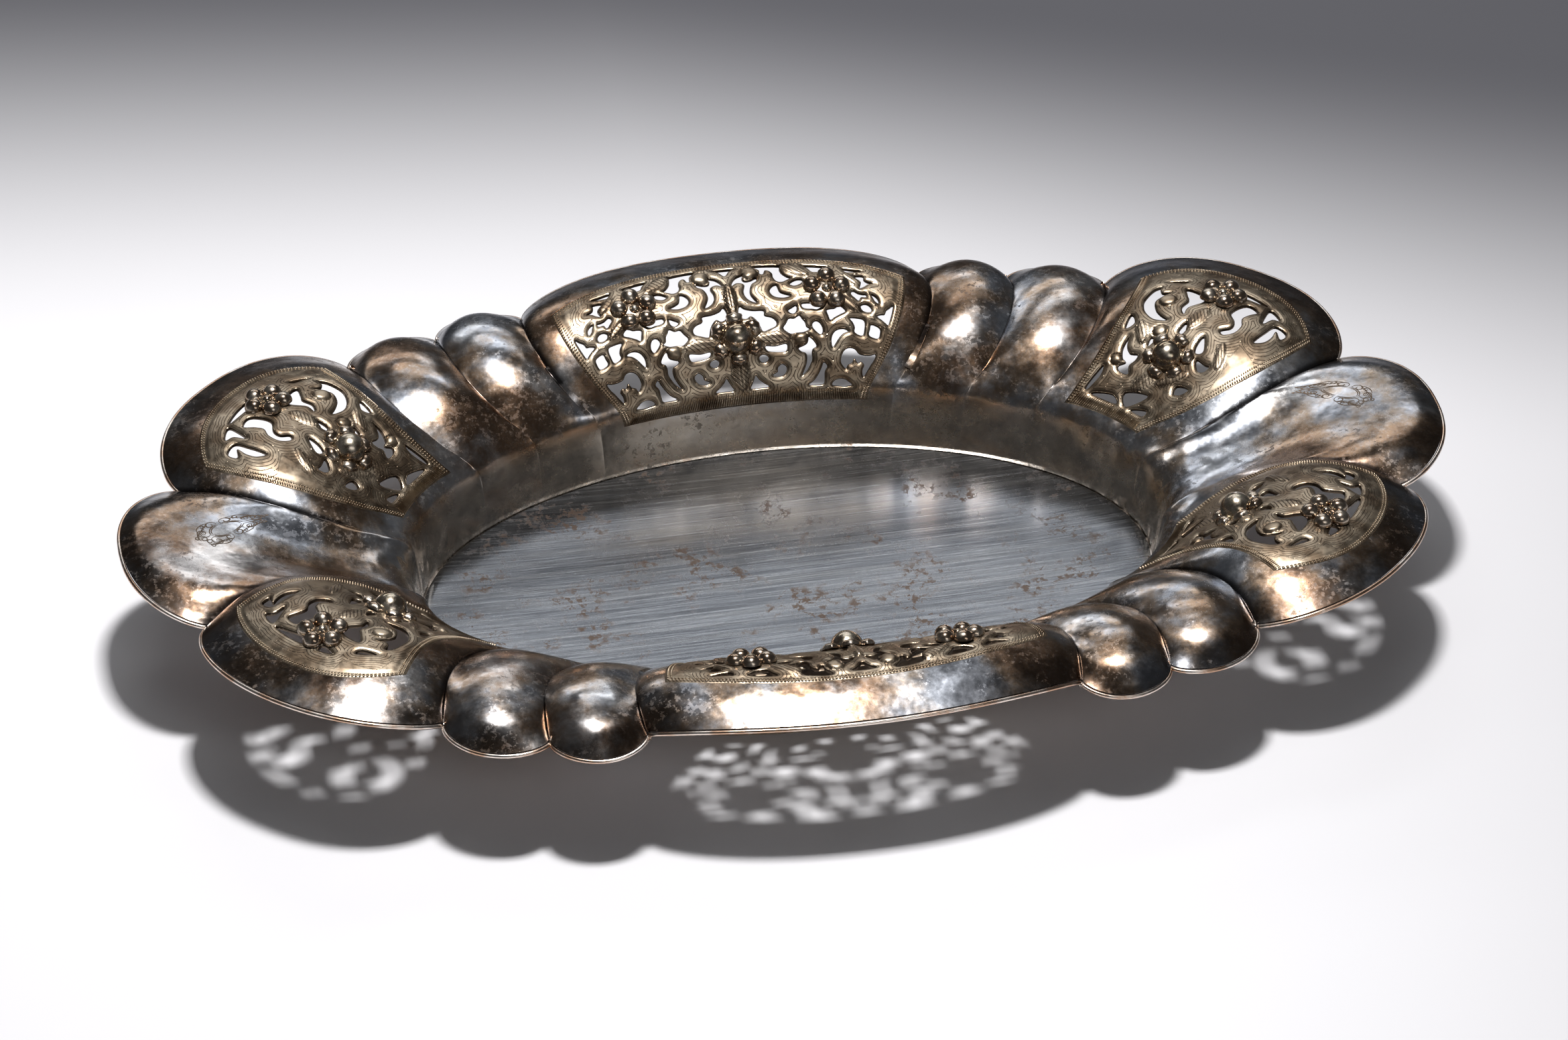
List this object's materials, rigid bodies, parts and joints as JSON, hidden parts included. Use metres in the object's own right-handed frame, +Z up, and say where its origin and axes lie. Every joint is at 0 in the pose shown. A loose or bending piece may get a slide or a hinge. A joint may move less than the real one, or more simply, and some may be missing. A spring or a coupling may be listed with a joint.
{
  "type": "pierced dish",
  "caption": "Lobed oval silver dish with openwork scroll panels, applied flower heads, a rim wire and a flat oval floor; holds bread, fruit or sweets.",
  "frame": {"origin": "middle of the underside of the floor, on the surface that the dish stands on", "axes": "+X along the long axis of the oval, +Y across it, +Z up"},
  "size_m": [0.337, 0.2054, 0.0437],
  "materials": {
    "shell_silver": "polished silver with a brown and bluish tarnish",
    "floor_silver": "silver brushed lengthwise, with light scratches and brown specks",
    "edge_silver": "worn bright edge with a coppery tone",
    "openwork_silver": "chased and engraved silver with a warm patina in its lines",
    "flower_silver": "polished domes with dark tarnish between them"
  },
  "bodies": {
    "root": {"floor_plate": "floor_silver", "rim_shell": "shell_silver", "edge_wire": "edge_silver", "openwork_back": "openwork_silver", "openwork_back_right": "openwork_silver", "openwork_front_right": "openwork_silver", "openwork_front": "openwork_silver", "openwork_front_left": "openwork_silver", "openwork_back_left": "openwork_silver", "blossom_left_back": "flower_silver", "blossom_right_back": "flower_silver", "rose_back": "flower_silver", "blossom_back_right": "flower_silver", "rose_back_right": "flower_silver", "blossom_front_right": "flower_silver", "rose_front_right": "flower_silver", "blossom_left_front": "flower_silver", "blossom_right_front": "flower_silver", "rose_front": "flower_silver", "blossom_front_left": "flower_silver", "rose_front_left": "flower_silver", "blossom_back_left": "flower_silver", "rose_back_left": "flower_silver"}
  },
  "joints": []
}
